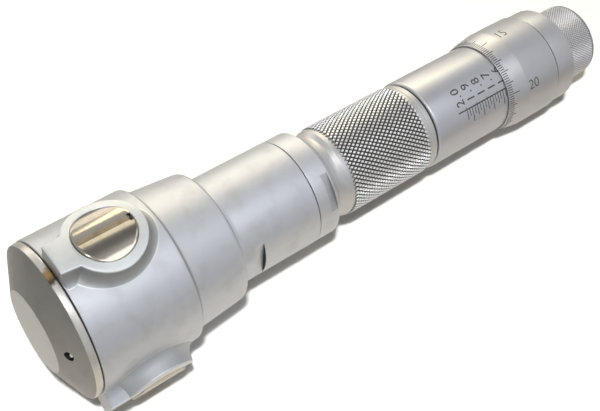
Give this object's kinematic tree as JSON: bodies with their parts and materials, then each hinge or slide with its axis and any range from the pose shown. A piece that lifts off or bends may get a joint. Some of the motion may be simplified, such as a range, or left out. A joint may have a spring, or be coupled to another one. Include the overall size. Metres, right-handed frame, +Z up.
{
  "type": "three-point inside micrometer",
  "caption": "Handheld inside micrometer: a round head pushes measuring anvils outwards as its graduated thimble is turned, to read the diameter of a bore.",
  "frame": {"origin": "bottom of the tool as it lies on a bench, under the middle of its length", "axes": "+X from the measuring head to the ratchet along the lying tool, +Z up; the tool's own axis dips towards the ratchet because it rests on head and thimble"},
  "size_m": [0.1476, 0.04, 0.0379],
  "materials": {
    "head_steel": "satin turned steel",
    "cap_steel": "satin turned steel, darker",
    "carbide": "polished",
    "hard_steel": "ground",
    "bronze": "machined",
    "spring_steel": "drawn",
    "handle_metal": "diamond knurled",
    "satin_chrome": "satin chrome plate"
  },
  "bodies": {
    "frame": {"head_housing": "head_steel", "front_cap": "cap_steel", "anvil_keys": "spring_steel", "backlash_spring": "spring_steel", "guide_bush": "bronze", "lock_collar": "head_steel", "handle": "handle_metal", "spindle_nut": "bronze", "sleeve": "satin_chrome"},
    "cone": {"measuring_cone": "hard_steel", "thrust_ball": "hard_steel", "thrust_nut": "bronze"},
    "thimble": {"spindle": "hard_steel", "thimble": "satin_chrome", "thimble_nut": "head_steel", "ratchet_disc": "hard_steel", "ratchet_spring": "spring_steel", "ratchet_screw": "spring_steel"},
    "ratchet": {"ratchet_knob": "satin_chrome"},
    "anvil_1": {"anvil_1": "carbide"},
    "anvil_2": {"anvil_2": "carbide"},
    "anvil_3": {"anvil_3": "carbide"}
  },
  "joints": [
    {"name": "cone_slide", "type": "slide", "parent": "frame", "child": "cone", "axis": [-0.9989, 0, 0.047], "range_m": [-0.00061, 0.01209], "deforming": ["backlash_spring"]},
    {"name": "thimble_turn", "type": "hinge", "parent": "cone", "child": "thimble", "pos_m": [0.0418, 0, 0.01243], "axis": [-0.9989, 0, 0.047], "range_deg": [-278.8, 5483.2]},
    {"name": "ratchet_turn", "type": "hinge", "parent": "thimble", "child": "ratchet", "pos_m": [0.06378, 0, 0.0114], "axis": [-0.9989, 0, 0.047], "continuous": true},
    {"name": "anvil_1_slide", "type": "slide", "parent": "frame", "child": "anvil_1", "axis": [0.047, 0, 0.9989], "range_m": [-0.00025, 0.00484]},
    {"name": "anvil_2_slide", "type": "slide", "parent": "frame", "child": "anvil_2", "axis": [-0.0235, 0.866, -0.4994], "range_m": [-0.00025, 0.00484]},
    {"name": "anvil_3_slide", "type": "slide", "parent": "frame", "child": "anvil_3", "axis": [-0.0235, -0.866, -0.4994], "range_m": [-0.00025, 0.00484]}
  ],
  "couplings": [
    {"joint": "thimble_turn", "follows": "cone_slide", "rad_per_m": 7915.8},
    {"joint": "anvil_1_slide", "follows": "cone_slide", "ratio": 0.4},
    {"joint": "anvil_2_slide", "follows": "cone_slide", "ratio": 0.4},
    {"joint": "anvil_3_slide", "follows": "cone_slide", "ratio": 0.4}
  ]
}
